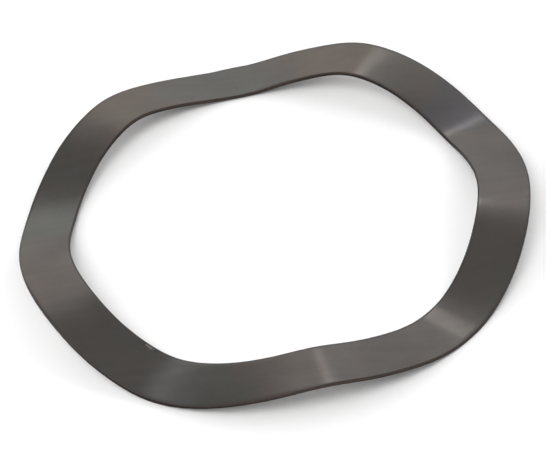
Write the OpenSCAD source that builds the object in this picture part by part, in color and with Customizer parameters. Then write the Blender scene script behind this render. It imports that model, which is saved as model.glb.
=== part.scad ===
// Wave spring washer: a closed ring of spring steel sheet, stamped out flat and
// pressed into even waves, as fitted behind a bearing to load it lightly along its
// axis. All lengths are in millimetres.
//
// The origin is on the ring's axis, level with the lowest troughs, where the free
// ring rests. +Z runs up along the axis. +X runs out over a trough, and the ring's
// two sides are mirror images across the plane of X and Z.

/* [Ring] */
// Outside diameter, a little under the housing bore that it drops into
outer_d = 99; // [92:0.5:130]
// Inside diameter, clear of the shaft
inner_d = 79.2; // [60:0.1:86]

/* [Sheet] */
// Thickness of the sheet
sheet_t = 0.8; // [0.4:0.05:2]
// Width of the narrow slope that blunts each stamped edge
edge_break = 0.1; // [0.02:0.01:0.15]

/* [Waves] */
// Number of waves round the ring
waves = 5; // [3:1:9]
// Height from trough to crest at the middle of the sheet
wave_h = 5.1; // [1:0.1:9]
// Lift of the two high sides, on the X axis, by the twist that hardening left
warp = 0.75; // [0:0.05:2]
// Depth of the flats that pressing solid left on the outermost waves
flat_depth = 0.03; // [0.01:0.01:0.1]

/* [Hidden] */

steel = [0.41, 0.40, 0.38];

// Straight steps that each wave is drawn in
wave_steps = 48;
steps = waves * wave_steps;

outer_r = outer_d / 2;
inner_r = inner_d / 2;
half_t = sheet_t / 2;

// How far the waved sheet runs on past the round walls that trim it
overhang = 0.2;

// Height of the sheet's middle over its mean level, at an angle round the ring
function rise(a) = warp * cos(2 * a) - wave_h / 2 * cos(waves * a);

// Rate at which that height changes, in millimetres for each radian
function climb(a) = waves * wave_h / 2 * sin(waves * a) - 2 * warp * sin(2 * a);

// The point at angle a and radius r that lies off the sheet's middle by the
// distance off, measured square to the sheet's slope there
function skin_point(a, r, off) =
    let (slope = climb(a) / r, up = off / sqrt(1 + slope * slope))
    [
        r * cos(a) + up * slope * sin(a),
        r * sin(a) - up * slope * cos(a),
        rise(a) + up
    ];

// The sheet's section, each corner as its radius and its distance off the middle.
// Next to both walls the two faces slope together, and run on past the wall.
tip = half_t - edge_break - overhang;
section = [
    [inner_r + edge_break, half_t],
    [inner_r - overhang, tip],
    [inner_r - overhang, -tip],
    [inner_r + edge_break, -half_t],
    [outer_r - edge_break, -half_t],
    [outer_r + overhang, -tip],
    [outer_r + overhang, tip],
    [outer_r - edge_break, half_t]
];
corners = len(section);

skin = [
    for (i = [0 : steps - 1])
        for (corner = section)
            skin_point(360 * i / steps, corner[0], corner[1])
];

skin_heights = [for (point = skin) point[2]];
sheet_low = min(skin_heights);
sheet_high = max(skin_heights);

// Height of the free ring between two flat plates
free_h = sheet_high - sheet_low - 2 * flat_depth;

// The two triangles of skin between one step's section and the next
function patch(step, corner) =
    let (
        here = step * corners,
        next = (step + 1) % steps * corners,
        other = (corner + 1) % corners
    )
    [
        [here + corner, here + other, next + other],
        [here + corner, next + other, next + corner]
    ];

patches = [
    for (step = [0 : steps - 1])
        for (corner = [0 : corners - 1])
            each patch(step, corner)
];

// The waved sheet, a little wider than the ring and a little taller
module waved_sheet() {
    translate([0, 0, -sheet_low - flat_depth])
        polyhedron(points = skin, faces = patches, convexity = 2 * waves);
}

// The room between the ring's two round walls and the two plates that press it
module ring_room() {
    difference() {
        cylinder(h = free_h, r = outer_r, $fn = steps);
        translate([0, 0, -overhang])
            cylinder(h = free_h + 2 * overhang, r = inner_r, $fn = steps);
    }
}

module wave_washer() {
    color(steel)
        intersection() {
            waved_sheet();
            ring_room();
        }
}

wave_washer();
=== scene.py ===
"""A wave spring washer: a closed ring of dark satin spring steel, lying on a white surface."""
import math

import bpy
from mathutils import Matrix, Vector, noise


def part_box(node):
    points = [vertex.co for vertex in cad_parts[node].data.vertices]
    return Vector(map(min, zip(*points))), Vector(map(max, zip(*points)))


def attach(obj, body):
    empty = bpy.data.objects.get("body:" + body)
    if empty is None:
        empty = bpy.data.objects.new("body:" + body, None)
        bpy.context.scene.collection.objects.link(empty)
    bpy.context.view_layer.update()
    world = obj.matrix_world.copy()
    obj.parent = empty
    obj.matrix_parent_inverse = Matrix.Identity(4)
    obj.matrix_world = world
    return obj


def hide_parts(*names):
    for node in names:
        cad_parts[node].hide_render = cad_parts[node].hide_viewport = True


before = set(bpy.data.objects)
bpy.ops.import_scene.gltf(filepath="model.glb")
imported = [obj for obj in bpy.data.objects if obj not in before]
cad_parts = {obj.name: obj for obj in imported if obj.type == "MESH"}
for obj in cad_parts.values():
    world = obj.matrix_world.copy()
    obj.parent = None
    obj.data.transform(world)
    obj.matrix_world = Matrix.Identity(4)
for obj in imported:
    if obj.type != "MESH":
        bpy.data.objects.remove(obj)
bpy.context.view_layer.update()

MM = 0.001

# The washer's form, as in the part's source
NODE = "wave_washer"
INNER_RADIUS = 39.6 * MM
SHEET = 0.8 * MM
WAVES = 5
WAVE_HEIGHT = 5.1 * MM
WARP = 0.75 * MM
MEAN_HEIGHT = 3.527 * MM
OUTER_RADIUS = (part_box(NODE)[1].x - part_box(NODE)[0].x) / 2
MIDDLE_RADIUS = (INNER_RADIUS + OUTER_RADIUS) / 2
FREE_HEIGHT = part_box(NODE)[1].z

# The stamped edges, rounded on both faces, and the steps that the mesh is drawn in
EDGE_RADIUS = 0.1 * MM
EDGE_STEPS = 4
ACROSS_STEPS = 14
WALL_STEPS = 3
AROUND_STEPS = 900

# How pressing left the sheet uneven: each count of waves round the ring, with its height
# in mm and the heading in degrees of one of its crests
BENDS = (
    (2, 0.05, 71),
    (5, 0.03, 7),
    (12, 0.06, 14),
    (15, 0.06, 12),
    (17, 0.03, 17),
    (22, 0.03, 8),
)
# The same for how much further the outer edge rises than the sheet's middle
TWISTS = (
    (1, 0.10, -21),
    (3, 0.16, 21),
    (4, 0.07, 0),
    (5, 0.10, 36),
    (6, 0.05, 2),
)
# How softly the sheet is held inside the part's box, and the fine ripple on it
LIMIT_EASE = 0.1 * MM
RIPPLE_HEIGHT = 0.012 * MM
RIPPLE_LENGTH = 7 * MM

# The camera, at the photograph's viewpoint
CAMERA_TURN = math.radians(22.69)
CAMERA_HEIGHT_ANGLE = math.radians(43.13)
CAMERA_ROLL = math.radians(8.65)
CAMERA_DISTANCE = 357.2 * MM
CAMERA_ASIDE = 0.13 * MM
CAMERA_DROP = 3.69 * MM
FOCAL_LENGTH = 121.8
CLIP_START = 10 * MM
CLIP_END = 20000 * MM

# The light tent round the washer: dim, with a brighter low band at the back that fades in
# between two cosines of the angle from its heading, a panel that rises from the band, and
# a small spot. Headings are angles about Z in the part's frame.
TENT_RADIUS = 600 * MM
TENT_DIM = 0.42
BAND_TOP = math.radians(28.5)
BAND_BLUR = math.radians(2.5)
BACK_HEADING = math.radians(62)
BACK_FADE = (-0.3, 0.1)
PANEL_HEADING = math.radians(59.7)
PANEL_HALF_WIDTH = math.radians(30.4)
PANEL_TOP = math.radians(55.5)
PANEL_TOP_BLUR = math.radians(20)
PANEL_SIDE_BLUR = math.radians(5)
SPOT_HEADING = math.radians(57.6)
SPOT_ELEVATION = math.radians(46)
SPOT_SIZE = math.radians(5.1)
SPOT_CORE = math.radians(2)
SPOT_GAIN = 1.35

# The light boxes on the tent: heading, elevation and half width in degrees, and gain
LIGHT_BOXES = (
    (217, 60, 16, 5.4),
    (-12, 28, 28, 1.3),
    (155, 28, 26, 1.3),
)
# The share of a light box's half width by which its edge fades out and in
BOX_BLUR = 0.1

# The floor, which is plain white from WHITE_FAR out, where the tent's light falls off
FLOOR_WHITE = 0.95
FLOOR_GLOW = 0.04
WHITE_NEAR = 130 * MM
WHITE_FAR = 260 * MM

# The steel's colours: plain, and as the tempering heat and oil stained it; the pale one is a painted
# highlight
STEEL = (0.148, 0.139, 0.130, 1)
BROWN = (0.161, 0.137, 0.119, 1)
PINK = (0.157, 0.137, 0.127, 1)
GREEN = (0.140, 0.144, 0.135, 1)
VIOLET = (0.144, 0.139, 0.147, 1)
DULL = (0.133, 0.123, 0.119, 1)
PALE_PAINTED_HIGHLIGHT = (0.170, 0.167, 0.163, 1)
# The share that it keeps of a clean metal's whitening at grazing angles
GRAZING_SHARE = 0.72

# Soft patches all over the faces: each kind's size in mm, the levels of noise at which it
# sets in and is whole, its strength and its colour
BLOTCHES = (13, 0.35, 0.65, 0.45, PINK)
BROWN_FLECKS = (3.2, 0.35, 0.65, 0.22, BROWN)
GREEN_FLECKS = (4.5, 0.4, 0.7, 0.25, GREEN)

# The stains, and one painted highlight in the pale colour: each one's heading and half width in
# degrees, its colour and its strength
STAINS_AND_HIGHLIGHT = (
    (5, 12, VIOLET, 1.0),
    (46, 16, BROWN, 1.0),
    (74, 15, GREEN, 0.9),
    (104, 15, BROWN, 0.7),
    (144, 11, GREEN, 0.9),
    (171, 13, PINK, 1.0),
    # A painted highlight in the pale colour, not a stain
    (217, 8, PALE_PAINTED_HIGHLIGHT, 0.9),
    (226, 9, GREEN, 0.7),
    (243, 10, PINK, 1.0),
    (270, 20, DULL, 1.0),
    (338, 15, DULL, 0.6),
)
PATCH_RAGGED = 20 * MM
PATCH_RAGGED_SIZE = 9 * MM

# Patches of painted highlight and painted shade: each one's heading in degrees, radius and
# reach in mm, and how much brighter it is
PAINTED_LIGHT_PATCHES = (
    (45, 43, 8, 0.06),
    (114, 45, 10, 0.13),
    (145, 46, 8, 0.09),
    (159, 41, 8, -0.09),
    (166, 46, 7, -0.07),
    (187, 44, 7, 0.07),
    (248, 44, 4, -0.09),
    (270, 48, 11, -0.09),
    (341, 49, 9, -0.15),
    (357, 49, 6, -0.12),
)
PAINTED_LIGHT_CORE = 0.5 * MM
PAINTED_LIGHT_RAGGED = 3 * MM
PAINTED_LIGHT_RAGGED_SIZE = 4 * MM

# How much the faces' brightness varies with clouds, specks, the grain and its streaks
CLOUD_SIZE = 7 * MM
CLOUD_CHANGE = 0.22
SPECK_SIZE = 0.7 * MM
SPECK_CHANGE = 0.10
GRAIN_CHANGE = 0.12
STREAK_CHANGE = 0.16

# The faces' roughness, and how much it varies with soft patches and the grain
FACE_ROUGH = 0.19
ROUGH_SIZE = 5 * MM
ROUGH_CHANGE = 0.08
ROUGH_GRAIN_CHANGE = 0.05

# The dark line painted along each edge of the faces, painted shade over the edges' own darker
# steel: its least width, how much wider it is on one side of the ring and which way that lies,
# and how strongly it shows
EDGE_DARK_AND_SHADE = (0.030, 0.029, 0.030, 1)
EDGE_WIDTH = 0.2 * MM
EDGE_WIDER = 0.28 * MM
EDGE_HEADING = math.radians(247)
EDGE_CORE = 0.1
EDGE_SHARE = 0.6
EDGE_WORN_SHARE = 0.3
EDGE_WORN_SIZE = 1.1 * MM
EDGE_WORN_LEVELS = (0.2, 0.5)
EDGE_ROUGHER = 0.3

# The stamped walls: torn below and burnished above, with drag lines up them
WALL_BROWN = (0.058, 0.044, 0.037, 1)
WALL_TORN = (0.034, 0.027, 0.024, 1)
WALL_BLEND = 0.05 * MM
WALL_ROUGH = 0.5
TORN_RAGGED = 0.25 * MM
TORN_TOP = 0.10 * MM
BURNISHED_BOTTOM = 0.20 * MM
BURNISHED_SMOOTHER = 0.15
DRAG_WIDTH = 0.09 * MM
DRAG_DRAWN_OUT = 0.12
DRAG_CHANGE = 0.7

# The rolling grain and its broader streaks, along one heading of the sheet
GRAIN_HEADING = math.radians(-22)
GRAIN_LENGTH = 14 * MM
GRAIN_WIDTH = 0.12 * MM
STREAK_LENGTH = 45 * MM
STREAK_WIDTH = 1.3 * MM

# A scuff by the inner edge
SCUFF_HEADING = math.radians(207.2)
SCUFF_RADIUS = INNER_RADIUS + 0.55 * MM
SCUFF_HALF_LENGTH = 1.1 * MM
SCUFF_HALF_WIDTH = 0.2 * MM
SCUFF_BRIGHT = (0.215, 0.198, 0.186, 1)
SCUFF_DARK = (0.115, 0.103, 0.094, 1)
SCUFF_WOBBLE = 1.8
SCUFF_WOBBLE_SIZE = 0.4 * MM
SCUFF_ROUGHER = 0.2
# The distances, in its half sizes, at which its dark patch and its mark start and are whole
SCUFF_PATCH = (2.2, 1.2)
SCUFF_MARK = (1.15, 0.7)

# Heights of the fine relief
GRAIN_RELIEF = 0.0009 * MM
DIMPLE_SIZE = 2.5 * MM
DIMPLE_RELIEF = 0.006 * MM
BURR_RELIEF = 0.03 * MM
DRAG_RELIEF = 0.012 * MM


def waves_sum(parts, angle):
    """Height at an angle of a sum of waves round the ring."""
    return MM * sum(
        height * math.cos(count * (angle - math.radians(crest))) for count, height, crest in parts
    )


def heights(angle):
    """Height of the sheet's middle at an angle, and how far its outer edge is over that."""
    rise = WARP * math.cos(2 * angle) - WAVE_HEIGHT / 2 * math.cos(WAVES * angle)
    return MEAN_HEIGHT + rise + waves_sum(BENDS, angle), waves_sum(TWISTS, angle)


def held(height):
    """A height of the sheet's middle, eased so that both faces stay in the part's box."""
    for limit, side in ((SHEET / 2, -1), (FREE_HEIGHT - SHEET / 2, 1)):
        past = side * (height - limit) + LIMIT_EASE
        if past > 0:
            height = limit - side * LIMIT_EASE * math.exp(-past / LIMIT_EASE)
    return height


def ripple(angle, radius):
    """The finest unevenness of the sheet at a place."""
    place = Vector((radius * math.cos(angle), radius * math.sin(angle), 0)) / RIPPLE_LENGTH
    return RIPPLE_HEIGHT * noise.noise(place)


def skin_ring(angle, outline):
    """The section's points at an angle, each set off square to the sheet's slope."""
    step = math.radians(0.1)
    ends = [heights(angle - step), heights(angle + step)]
    middle, tilt = heights(angle)
    points = []
    for radius, off in outline:
        side = (radius - MIDDLE_RADIUS) / (OUTER_RADIUS - MIDDLE_RADIUS)
        before, after = [held(height + side * extra) for height, extra in ends]
        slope = (after - before) / (2 * step * radius)
        up = off / math.hypot(1, slope)
        x = radius * math.cos(angle) + up * slope * math.sin(angle)
        y = radius * math.sin(angle) - up * slope * math.cos(angle)
        z = held(middle + side * tilt) + up + ripple(angle, radius)
        points.append(Vector((x, y, min(max(z, 0), FREE_HEIGHT))))
    return points


def straight(start, end, count):
    """Points from start up to, but not at, end."""
    return [tuple(a + (b - a) * i / count for a, b in zip(start, end)) for i in range(count)]


def rounded(centre, start_angle):
    """Points along a quarter turn of the edge's rounding, all but the last."""
    return [
        (
            centre[0] + EDGE_RADIUS * math.cos(start_angle + math.pi / 2 * i / EDGE_STEPS),
            centre[1] + EDGE_RADIUS * math.sin(start_angle + math.pi / 2 * i / EDGE_STEPS),
        )
        for i in range(EDGE_STEPS)
    ]


def section():
    """The sheet's rounded section, as pairs of radius and distance off the middle."""
    near, far = INNER_RADIUS + EDGE_RADIUS, OUTER_RADIUS - EDGE_RADIUS
    top = SHEET / 2 - EDGE_RADIUS
    points = rounded((far, top), 0)
    points += straight((far, SHEET / 2), (near, SHEET / 2), ACROSS_STEPS)
    points += rounded((near, top), math.pi / 2)
    points += straight((INNER_RADIUS, top), (INNER_RADIUS, -top), WALL_STEPS)
    points += rounded((near, -top), math.pi)
    points += straight((near, -SHEET / 2), (far, -SHEET / 2), ACROSS_STEPS)
    points += rounded((far, -top), math.pi * 1.5)
    points += straight((OUTER_RADIUS, -top), (OUTER_RADIUS, top), WALL_STEPS)
    return points


def make_washer():
    """The waved ring, as one closed mesh."""
    outline = section()
    count = len(outline)
    vertices = []
    for i in range(AROUND_STEPS):
        vertices += skin_ring(2 * math.pi * i / AROUND_STEPS, outline)
    faces = []
    for i in range(AROUND_STEPS):
        here = i * count
        there = (i + 1) % AROUND_STEPS * count
        for j in range(count):
            k = (j + 1) % count
            faces.append((here + j, there + j, there + k, here + k))
    mesh = bpy.data.meshes.new("washer")
    mesh.from_pydata(vertices, [], faces)
    mesh.validate()
    mesh.polygons.foreach_set("use_smooth", [True] * len(mesh.polygons))
    washer = bpy.data.objects.new("washer", mesh)
    bpy.context.scene.collection.objects.link(washer)
    return washer


class Nodes:
    """Short ways to add shader nodes to one node tree."""

    def __init__(self, tree):
        self.tree = tree

    def add(self, kind, **settings):
        """A new node with its settings."""
        node = self.tree.nodes.new(kind)
        for name, value in settings.items():
            setattr(node, name, value)
        return node

    def feed(self, socket, value):
        """Set an input, or link it to another node's output."""
        if isinstance(value, bpy.types.NodeSocket):
            self.tree.links.new(value, socket)
        else:
            socket.default_value = value

    def math(self, operation, *values):
        """The result of a sum on numbers."""
        node = self.add("ShaderNodeMath", operation=operation)
        for socket, value in zip(node.inputs, values):
            self.feed(socket, value)
        return node.outputs[0]

    def vector_math(self, operation, *values):
        """The result of a sum on vectors."""
        node = self.add("ShaderNodeVectorMath", operation=operation)
        for socket, value in zip(node.inputs, values):
            self.feed(socket, value)
        return node.outputs["Value" if operation in ("DOT_PRODUCT", "LENGTH") else "Vector"]

    def step(self, value, start, end):
        """A smooth step from 0 at start to 1 at end."""
        node = self.add("ShaderNodeMapRange", interpolation_type="SMOOTHSTEP")
        for name, part in (("Value", value), ("From Min", start), ("From Max", end)):
            self.feed(node.inputs[name], part)
        return node.outputs["Result"]

    def varied(self, level, noisy, change):
        """A number moved up and down by noise about 0.5."""
        return self.math("MULTIPLY_ADD", self.math("SUBTRACT", noisy, 0.5), change, level)

    def scaled(self, vector, amount):
        """A vector or colour times a number."""
        node = self.add("ShaderNodeVectorMath", operation="SCALE")
        self.feed(node.inputs[0], vector)
        self.feed(node.inputs["Scale"], amount)
        return node.outputs["Vector"]

    def joined(self, x, y, z):
        """A vector from three numbers."""
        node = self.add("ShaderNodeCombineXYZ")
        for socket, value in zip(node.inputs, (x, y, z)):
            self.feed(socket, value)
        return node.outputs["Vector"]

    def noise(self, place, size, detail=2):
        """Soft noise about 0.5, with features of about the size given."""
        node = self.add("ShaderNodeTexNoise")
        self.feed(node.inputs["Vector"], place)
        self.feed(node.inputs["Scale"], 1 / size)
        self.feed(node.inputs["Detail"], detail)
        return node.outputs["Fac"]

    def grain(self, place, heading, length, width, detail=2):
        """Noise drawn out along one heading of the plane of X and Y."""
        along = self.vector_math("DOT_PRODUCT", place, direction(heading, 0))
        across = self.vector_math("DOT_PRODUCT", place, direction(heading + math.pi / 2, 0))
        along = self.math("MULTIPLY", along, 1 / length)
        across = self.math("MULTIPLY", across, 1 / width)
        return self.noise(self.joined(along, across, 0), 1, detail)

    def blend(self, share, first, second):
        """A colour between two colours."""
        node = self.add("ShaderNodeMix", data_type="RGBA")
        self.feed(node.inputs["Factor"], share)
        self.feed(node.inputs["A"], first)
        self.feed(node.inputs["B"], second)
        return node.outputs["Result"]


def direction(heading, elevation):
    """The unit vector that points to a heading and an elevation."""
    level = math.cos(elevation)
    return (level * math.cos(heading), level * math.sin(heading), math.sin(elevation))


def flecked(nodes, place, colour, fleck):
    """A colour with soft patches of another colour all over it."""
    size, low, high, strength, other = fleck
    share = nodes.step(nodes.noise(place, size * MM), low, high)
    return nodes.blend(nodes.math("MULTIPLY", share, strength), colour, other)


def stained_and_highlit_colour(nodes, place):
    """The faces' colour: plain steel with soft ragged stains and one painted highlight."""
    warp = nodes.add("ShaderNodeTexNoise")
    nodes.feed(warp.inputs["Vector"], place)
    nodes.feed(warp.inputs["Scale"], 1 / PATCH_RAGGED_SIZE)
    shift = nodes.vector_math("SUBTRACT", warp.outputs["Color"], (0.5, 0.5, 0.5))
    moved = nodes.vector_math("ADD", place, nodes.scaled(shift, PATCH_RAGGED))
    toward = nodes.vector_math("NORMALIZE", nodes.vector_math("MULTIPLY", moved, (1, 1, 0)))
    colour = flecked(nodes, place, STEEL, BLOTCHES)
    # The pale patch among these is a painted highlight
    for heading, half_width, patch_colour, strength in STAINS_AND_HIGHLIGHT:
        near = nodes.vector_math("DOT_PRODUCT", toward, direction(math.radians(heading), 0))
        share = nodes.step(near, math.cos(math.radians(half_width)), 1)
        colour = nodes.blend(nodes.math("MULTIPLY", share, strength), colour, patch_colour)
    colour = flecked(nodes, place, colour, BROWN_FLECKS)
    return flecked(nodes, moved, colour, GREEN_FLECKS)


def mottled(nodes, place, fine, broad):
    """How much brighter or darker each place is, about 1."""
    level = nodes.varied(1, nodes.noise(place, CLOUD_SIZE, 3), CLOUD_CHANGE)
    level = nodes.varied(level, nodes.noise(place, SPECK_SIZE), SPECK_CHANGE)
    level = nodes.varied(level, fine, GRAIN_CHANGE)
    return nodes.varied(level, broad, STREAK_CHANGE)


def with_painted_light(nodes, place, level):
    """The brightness of each place with the patches of painted highlight and painted shade."""
    flat = nodes.vector_math("MULTIPLY", place, (1, 1, 0))
    ragged = nodes.noise(place, PAINTED_LIGHT_RAGGED_SIZE)
    for heading, radius, reach, strength in PAINTED_LIGHT_PATCHES:
        centre = [radius * MM * part for part in direction(math.radians(heading), 0)]
        far = nodes.vector_math("LENGTH", nodes.vector_math("SUBTRACT", flat, centre))
        share = nodes.step(nodes.varied(far, ragged, PAINTED_LIGHT_RAGGED), reach * MM, PAINTED_LIGHT_CORE)
        level = nodes.math("MULTIPLY_ADD", share, strength, level)
    return level


def face_finish(nodes, place, fine, broad):
    """The faces' colour and roughness."""
    # Patches of painted highlight and painted shade brighten and darken the faces here
    bright = with_painted_light(nodes, place, mottled(nodes, place, fine, broad))
    colour = nodes.scaled(stained_and_highlit_colour(nodes, place), bright)
    rough = nodes.varied(FACE_ROUGH, nodes.noise(place, ROUGH_SIZE, 3), ROUGH_CHANGE)
    return colour, nodes.varied(rough, fine, ROUGH_GRAIN_CHANGE)


def scuff_distance(nodes, place):
    """How far a place is from the scuff's middle, in its half sizes."""
    centre = [SCUFF_RADIUS * part for part in direction(SCUFF_HEADING, 0)]
    offset = nodes.vector_math("SUBTRACT", place, centre)
    out = direction(SCUFF_HEADING, 0)
    round_about = direction(SCUFF_HEADING + math.pi / 2, 0)
    along = nodes.vector_math("DOT_PRODUCT", offset, round_about)
    across = nodes.vector_math("DOT_PRODUCT", offset, out)
    along = nodes.math("MULTIPLY", along, 1 / SCUFF_HALF_LENGTH)
    across = nodes.math("MULTIPLY", across, 1 / SCUFF_HALF_WIDTH)
    far = nodes.vector_math("LENGTH", nodes.joined(along, across, 0))
    return nodes.varied(far, nodes.noise(place, SCUFF_WOBBLE_SIZE, 3), SCUFF_WOBBLE)


def scuffed(nodes, place, colour, rough):
    """The colour and roughness with the scuff, bright in a dark patch, and its mark."""
    far = scuff_distance(nodes, place)
    mark = nodes.step(far, *SCUFF_MARK)
    colour = nodes.blend(nodes.step(far, *SCUFF_PATCH), colour, SCUFF_DARK)
    colour = nodes.blend(mark, colour, SCUFF_BRIGHT)
    return colour, nodes.math("MULTIPLY_ADD", mark, SCUFF_ROUGHER, rough), mark


def edge_share(nodes, radius, inner_width, outer_width):
    """1 at either wall and up to EDGE_CORE of a width from it, fading to 0 at the width."""
    inner = nodes.math("DIVIDE", nodes.math("SUBTRACT", radius, INNER_RADIUS), inner_width)
    outer = nodes.math("DIVIDE", nodes.math("SUBTRACT", OUTER_RADIUS, radius), outer_width)
    return nodes.step(nodes.math("MINIMUM", inner, outer), 1, EDGE_CORE)


def with_dark_edge_and_shade(nodes, place, radius, colour, rough):
    """The colour and roughness with the dark line along each edge of the faces: painted shade over
    the edges' own darker steel.
    """
    flat = nodes.vector_math("MULTIPLY", place, (1, 1, 0))
    # The line is wider on one side of the ring: painted shade
    side = nodes.vector_math("DOT_PRODUCT", flat, direction(EDGE_HEADING, 0))
    side = nodes.step(side, -INNER_RADIUS, INNER_RADIUS)
    inner_width = nodes.math("MULTIPLY_ADD", side, EDGE_WIDER, EDGE_WIDTH)
    outer_width = nodes.math("MULTIPLY_ADD", side, -EDGE_WIDER, EDGE_WIDTH + EDGE_WIDER)
    edge = edge_share(nodes, radius, inner_width, outer_width)
    worn = nodes.step(nodes.noise(place, EDGE_WORN_SIZE, 3), *EDGE_WORN_LEVELS)
    share = nodes.math("MULTIPLY_ADD", worn, EDGE_WORN_SHARE, EDGE_SHARE)
    edge = nodes.math("MULTIPLY", edge, share)
    return nodes.blend(edge, colour, EDGE_DARK_AND_SHADE), nodes.math("MULTIPLY_ADD", edge, EDGE_ROUGHER, rough)


def wall_depth(nodes, place):
    """How far a place is above the sheet's middle, by the part's own rule."""
    parts = nodes.add("ShaderNodeSeparateXYZ")
    nodes.feed(parts.inputs[0], place)
    angle = nodes.math("ARCTAN2", parts.outputs["Y"], parts.outputs["X"])
    twice = nodes.math("COSINE", nodes.math("MULTIPLY", angle, 2))
    waves = nodes.math("COSINE", nodes.math("MULTIPLY", angle, WAVES))
    depth = nodes.math("SUBTRACT", parts.outputs["Z"], MEAN_HEIGHT)
    depth = nodes.math("MULTIPLY_ADD", twice, -WARP, depth)
    return nodes.math("MULTIPLY_ADD", waves, WAVE_HEIGHT / 2, depth)


def wall_finish(nodes, place, drag):
    """The stamped walls' colour and roughness, torn below and burnished above."""
    depth = nodes.math("MULTIPLY_ADD", drag, TORN_RAGGED, wall_depth(nodes, place))
    burnished = nodes.step(depth, TORN_TOP, BURNISHED_BOTTOM)
    colour = nodes.blend(burnished, WALL_TORN, WALL_BROWN)
    colour = nodes.scaled(colour, nodes.varied(1, drag, DRAG_CHANGE))
    return colour, nodes.math("MULTIPLY_ADD", burnished, -BURNISHED_SMOOTHER, WALL_ROUGH)


def relief(nodes, place, fine, mark, wall_drag):
    """The normals of the fine relief: the grain, dimples, the scuff's burr and drag lines."""
    height = nodes.math("MULTIPLY", fine, GRAIN_RELIEF)
    height = nodes.math("MULTIPLY_ADD", nodes.noise(place, DIMPLE_SIZE), DIMPLE_RELIEF, height)
    height = nodes.math("MULTIPLY_ADD", mark, BURR_RELIEF, height)
    height = nodes.math("MULTIPLY_ADD", wall_drag, DRAG_RELIEF, height)
    bump = nodes.add("ShaderNodeBump")
    bump.inputs["Strength"].default_value = 1
    bump.inputs["Distance"].default_value = 1
    nodes.feed(bump.inputs["Height"], height)
    return bump.outputs["Normal"]


def make_steel():
    """Dark satin spring steel: tempered faces with rolling grain, and brown stamped walls."""
    steel = bpy.data.materials.new("spring_steel")
    steel.use_nodes = True
    nodes = Nodes(steel.node_tree)
    shader = steel.node_tree.nodes["Principled BSDF"]
    place = nodes.add("ShaderNodeTexCoord").outputs["Object"]
    radius = nodes.vector_math("LENGTH", nodes.vector_math("MULTIPLY", place, (1, 1, 0)))
    fine = nodes.grain(place, GRAIN_HEADING, GRAIN_LENGTH, GRAIN_WIDTH, 3)
    broad = nodes.grain(place, GRAIN_HEADING, STREAK_LENGTH, STREAK_WIDTH, 2)
    colour, rough = face_finish(nodes, place, fine, broad)
    colour, rough, mark = scuffed(nodes, place, colour, rough)
    # A dark line along the edges: painted shade over their own darker steel
    colour, rough = with_dark_edge_and_shade(nodes, place, radius, colour, rough)

    wall = edge_share(nodes, radius, WALL_BLEND, WALL_BLEND)
    drawn_out = nodes.vector_math("MULTIPLY", place, (1, 1, DRAG_DRAWN_OUT))
    drag = nodes.noise(drawn_out, DRAG_WIDTH)
    wall_colour, wall_rough = wall_finish(nodes, place, drag)
    mix = nodes.add("ShaderNodeMix", data_type="FLOAT")
    for name, value in (("Factor", wall), ("A", rough), ("B", wall_rough)):
        nodes.feed(mix.inputs[name], value)
    normal = relief(nodes, place, fine, mark, nodes.math("MULTIPLY", wall, drag))

    nodes.feed(shader.inputs["Base Color"], nodes.blend(wall, colour, wall_colour))
    nodes.feed(shader.inputs["Roughness"], mix.outputs["Result"])
    nodes.feed(shader.inputs["Normal"], normal)
    shader.inputs["Metallic"].default_value = 1
    shader.inputs["Specular Tint"].default_value = (GRAZING_SHARE, GRAZING_SHARE, GRAZING_SHARE, 1)
    return steel


def make_floor():
    """A white surface that keeps the washer's shadow."""
    bpy.ops.mesh.primitive_circle_add(vertices=96, radius=TENT_RADIUS, fill_type="NGON")
    floor = bpy.context.object
    floor.name = "floor"
    paper = bpy.data.materials.new("white_paper")
    paper.use_nodes = True
    nodes = Nodes(paper.node_tree)
    shader = paper.node_tree.nodes["Principled BSDF"]
    shader.inputs["Base Color"].default_value = (FLOOR_WHITE, FLOOR_WHITE, FLOOR_WHITE, 1)
    shader.inputs["Roughness"].default_value = 1
    shader.inputs["Specular IOR Level"].default_value = 0
    path = nodes.add("ShaderNodeLightPath")
    seen = nodes.math("MAXIMUM", path.outputs["Is Camera Ray"], path.outputs["Is Glossy Ray"])
    seen = nodes.math("MAXIMUM", seen, path.outputs["Is Transmission Ray"])
    shader.inputs["Emission Color"].default_value = (1, 1, 1, 1)
    nodes.feed(shader.inputs["Emission Strength"], nodes.math("MULTIPLY", seen, FLOOR_GLOW))
    place = nodes.add("ShaderNodeTexCoord").outputs["Object"]
    far = nodes.step(nodes.vector_math("LENGTH", place), WHITE_NEAR, WHITE_FAR)
    mix = nodes.add("ShaderNodeMixShader")
    nodes.feed(mix.inputs["Fac"], nodes.math("MULTIPLY", seen, far))
    nodes.feed(mix.inputs[1], shader.outputs["BSDF"])
    nodes.feed(mix.inputs[2], nodes.add("ShaderNodeEmission").outputs["Emission"])
    nodes.feed(paper.node_tree.nodes["Material Output"].inputs["Surface"], mix.outputs["Shader"])
    floor.data.materials.append(paper)


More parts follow.
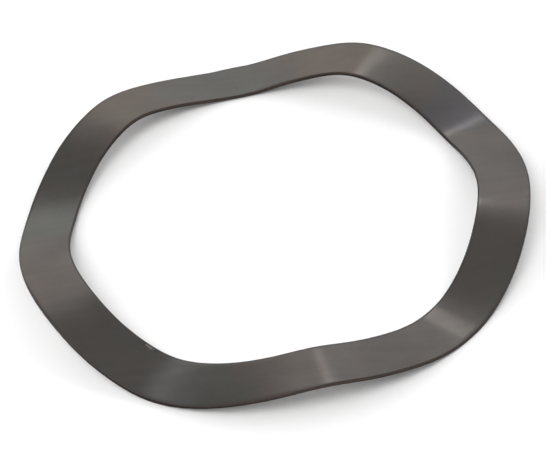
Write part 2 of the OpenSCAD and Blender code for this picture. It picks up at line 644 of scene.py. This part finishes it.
def tent_light(nodes, toward):
    """How brightly the tent glows in each direction from the washer."""
    split = nodes.add("ShaderNodeSeparateXYZ")
    nodes.feed(split.inputs[0], toward)
    elevation = nodes.math("ARCSINE", split.outputs["Z"])
    heading = nodes.math("ARCTAN2", split.outputs["Y"], split.outputs["X"])
    band = nodes.step(elevation, BAND_TOP + BAND_BLUR, BAND_TOP - BAND_BLUR)
    behind = nodes.vector_math("DOT_PRODUCT", toward, direction(BACK_HEADING, 0))
    band = nodes.math("MULTIPLY", band, nodes.step(behind, *BACK_FADE))
    turned = nodes.math("ABSOLUTE", nodes.math("SUBTRACT", heading, PANEL_HEADING))
    panel = nodes.step(elevation, PANEL_TOP + PANEL_TOP_BLUR, PANEL_TOP - PANEL_TOP_BLUR)
    sides = nodes.step(turned, PANEL_HALF_WIDTH + PANEL_SIDE_BLUR, PANEL_HALF_WIDTH - PANEL_SIDE_BLUR)
    bright = nodes.math("MAXIMUM", band, nodes.math("MULTIPLY", panel, sides))
    level = nodes.math("MULTIPLY_ADD", bright, 1 - TENT_DIM, TENT_DIM)
    spot = nodes.vector_math("DOT_PRODUCT", toward, direction(SPOT_HEADING, SPOT_ELEVATION))
    spot = nodes.step(spot, math.cos(SPOT_SIZE), math.cos(SPOT_CORE))
    level = nodes.math("MULTIPLY_ADD", spot, SPOT_GAIN, level)
    for box_heading, box_elevation, half_width, gain in LIGHT_BOXES:
        aim = direction(math.radians(box_heading), math.radians(box_elevation))
        ends = [math.cos(math.radians(half_width) * (1 + blur)) for blur in (BOX_BLUR, -BOX_BLUR)]
        box = nodes.step(nodes.vector_math("DOT_PRODUCT", toward, aim), *ends)
        level = nodes.math("MULTIPLY_ADD", box, gain, level)
    return level


def make_tent():
    """A light tent: a dome that glows inwards, and that the camera sees through."""
    bpy.ops.mesh.primitive_uv_sphere_add(segments=64, ring_count=32, radius=TENT_RADIUS)
    tent = bpy.context.object
    tent.name = "tent"
    tent.visible_camera = False
    glow = bpy.data.materials.new("tent_glow")
    glow.use_nodes = True
    glow.node_tree.nodes.clear()
    nodes = Nodes(glow.node_tree)
    place = nodes.add("ShaderNodeTexCoord").outputs["Object"]
    emission = nodes.add("ShaderNodeEmission")
    nodes.feed(emission.inputs["Strength"], tent_light(nodes, nodes.vector_math("NORMALIZE", place)))
    output = nodes.add("ShaderNodeOutputMaterial")
    nodes.feed(output.inputs["Surface"], emission.outputs["Emission"])
    tent.data.materials.append(glow)


def make_world():
    """White beyond the floor's edge."""
    world = bpy.data.worlds.new("studio")
    bpy.context.scene.world = world
    world.use_nodes = True
    background = world.node_tree.nodes["Background"]
    background.inputs["Color"].default_value = (1, 1, 1, 1)


def make_camera():
    """The camera, at the photograph's viewpoint."""
    data = bpy.data.cameras.new("camera")
    data.lens = FOCAL_LENGTH
    data.clip_start = CLIP_START
    data.clip_end = CLIP_END
    camera = bpy.data.objects.new("camera", data)
    bpy.context.scene.collection.objects.link(camera)
    turn = (
        Matrix.Rotation(-CAMERA_TURN, 3, "Z")
        @ Matrix.Rotation(math.pi / 2 - CAMERA_HEIGHT_ANGLE, 3, "X")
        @ Matrix.Rotation(-CAMERA_ROLL, 3, "Z")
    )
    centre = Vector((0, 0, MEAN_HEIGHT))
    place = centre + turn @ Vector((CAMERA_ASIDE, -CAMERA_DROP, CAMERA_DISTANCE))
    camera.matrix_world = Matrix.Translation(place) @ turn.to_4x4()
    bpy.context.scene.camera = camera


make_camera()
make_world()
make_floor()
make_tent()

washer = make_washer()
washer.data.materials.append(make_steel())
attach(washer, "root")
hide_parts(NODE)

bpy.context.scene.view_settings.view_transform = "Standard"
